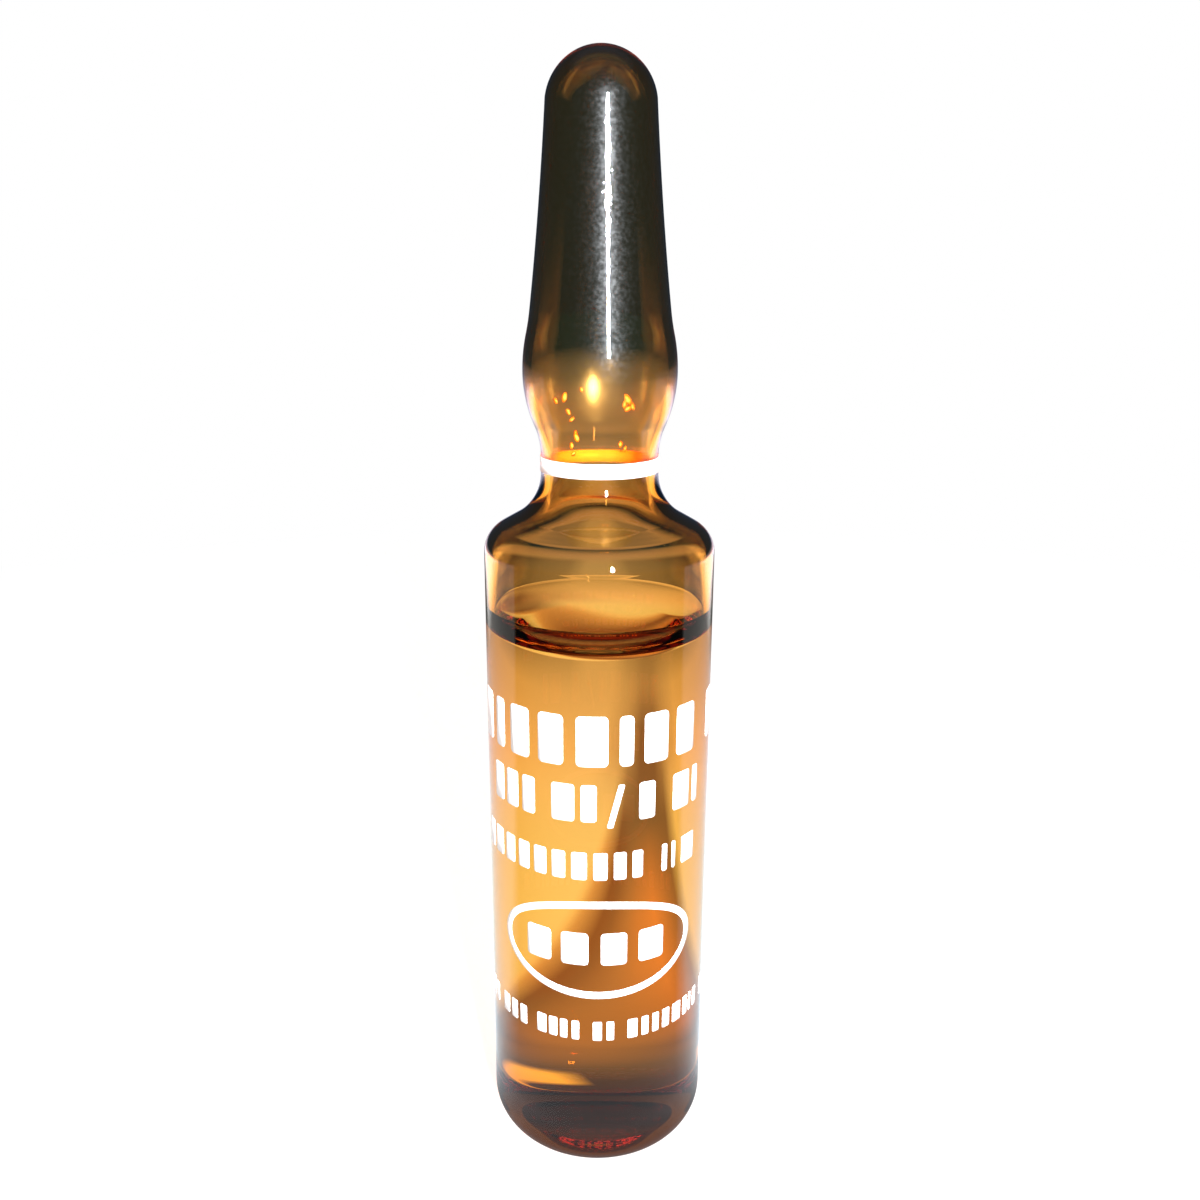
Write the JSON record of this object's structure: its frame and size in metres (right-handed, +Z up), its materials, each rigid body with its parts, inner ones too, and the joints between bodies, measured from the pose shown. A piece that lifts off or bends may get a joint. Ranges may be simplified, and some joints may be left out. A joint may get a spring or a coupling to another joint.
{
  "type": "glass ampoule",
  "caption": "Sealed amber glass ampoule of clear injection liquid, with a snap-off stem, a white break ring fired onto its neck and a flat standing base.",
  "frame": {"origin": "centre of the standing plane, under the middle of the base", "axes": "+Z up along the axis of the ampoule towards its sealed tip; -Y is the side that carries the white marks; +X to the right when they are read"},
  "size_m": [0.0148, 0.0148, 0.0719],
  "materials": {
    "amber_glass": "fire-polished amber borosilicate glass",
    "clear_solution": "clear, colourless liquid",
    "white_enamel": "fired white screen-print enamel, satin"
  },
  "bodies": {
    "root": {"glass_body": "amber_glass", "solution": "clear_solution", "break_ring": "white_enamel"}
  },
  "joints": []
}
